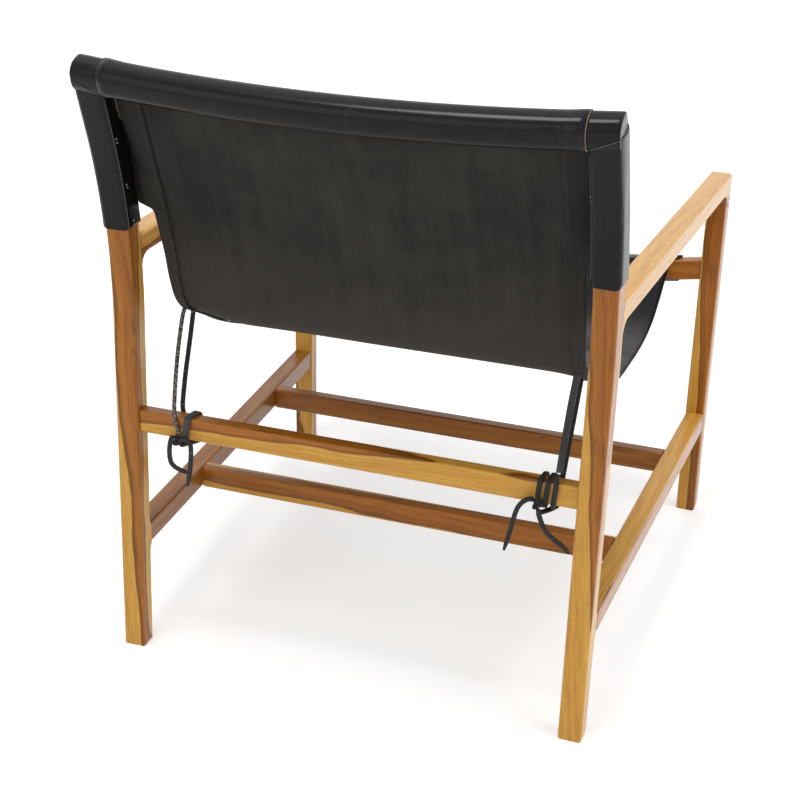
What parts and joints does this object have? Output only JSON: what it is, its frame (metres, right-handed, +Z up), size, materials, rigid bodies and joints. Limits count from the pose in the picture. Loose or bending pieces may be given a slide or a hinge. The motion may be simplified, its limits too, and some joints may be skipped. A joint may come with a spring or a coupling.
{
  "type": "sling lounge chair",
  "caption": "Low open-frame wooden lounge chair with a hung leather sling for seat and back, laced to its rear rail.",
  "frame": {"origin": "on the floor, under the middle of the whole chair", "axes": "+Z up; the sitter faces -Y, so the back rest is at +Y; +X is on the sitter's left"},
  "size_m": [0.6818, 0.7576, 0.8051],
  "materials": {
    "teak": "oiled teak, satin",
    "sling_leather": "black saddle leather, its fleshy underside matt",
    "corner_leather": "black saddle leather, its grain side waxed",
    "thong_leather": "black split leather lace with raw edges"
  },
  "bodies": {
    "root": {"left_rear_leg": "teak", "left_front_leg": "teak", "left_arm": "teak", "left_side_stretcher": "teak", "left_corner_cap": "corner_leather", "left_post_sleeve": "corner_leather", "left_edge_band": "sling_leather", "right_rear_leg": "teak", "right_front_leg": "teak", "right_arm": "teak", "right_side_stretcher": "teak", "right_corner_cap": "corner_leather", "right_post_sleeve": "corner_leather", "right_edge_band": "sling_leather", "rear_rail": "teak", "rear_lower_rail": "teak", "front_lower_rail": "teak", "seat_front_rail": "teak", "top_rail": "teak", "sling": "sling_leather", "left_back_strand": "thong_leather", "left_front_strand": "thong_leather", "left_long_tail": "thong_leather", "left_short_tail": "thong_leather", "left_rail_turns": "thong_leather", "left_knot": "thong_leather", "right_back_strand": "thong_leather", "right_front_strand": "thong_leather", "right_long_tail": "thong_leather", "right_short_tail": "thong_leather", "right_rail_turns": "thong_leather", "right_knot": "thong_leather"}
  },
  "joints": []
}
